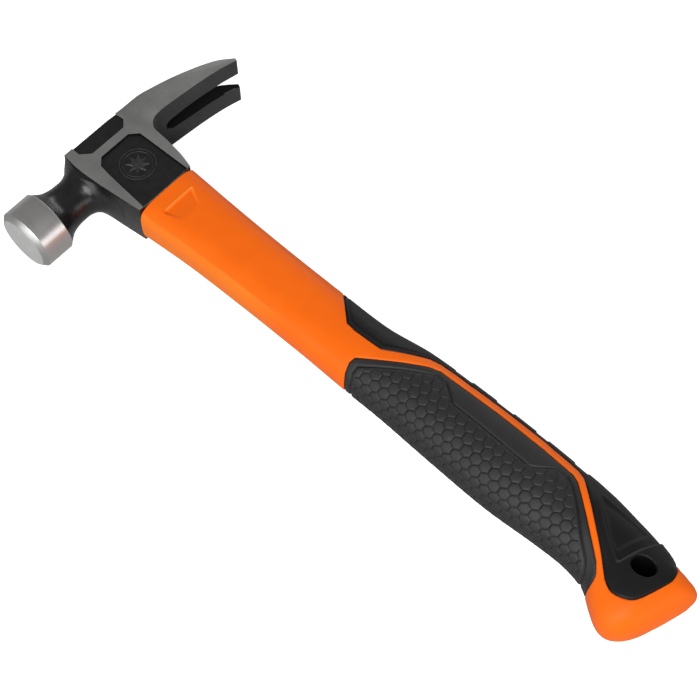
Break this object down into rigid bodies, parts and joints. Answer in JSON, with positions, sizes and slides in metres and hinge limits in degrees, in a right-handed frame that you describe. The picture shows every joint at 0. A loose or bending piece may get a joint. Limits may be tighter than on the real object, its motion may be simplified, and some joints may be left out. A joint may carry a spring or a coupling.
{
  "type": "claw hammer",
  "caption": "Straight-claw hammer: forged steel head with round striking poll, split claws and an eye bonded to a fibreglass-cored handle with a hard jacket and soft grips.",
  "frame": {"origin": "middle of the footprint, on the surface the hammer lies on", "axes": "+X along the head from the striking face to the claws, +Y up the handle to the head, +Z out of the side that faces up"},
  "size_m": [0.128, 0.3316, 0.0295],
  "materials": {
    "forged_steel": "forged steel, ground side land and claws, polished striking poll, black painted recesses and throat",
    "fibreglass": "pultruded fibreglass rod, hidden inside the jacket",
    "epoxy_resin": "cured dark epoxy",
    "orange_plastic": "satin moulded polypropylene, orange",
    "black_rubber": "soft black moulding with a fine matt grain"
  },
  "bodies": {
    "root": {"head": "forged_steel", "core_rod": "fibreglass", "epoxy_bond": "epoxy_resin", "handle_jacket": "orange_plastic", "front_grip": "black_rubber", "rear_grip": "black_rubber"}
  },
  "joints": []
}
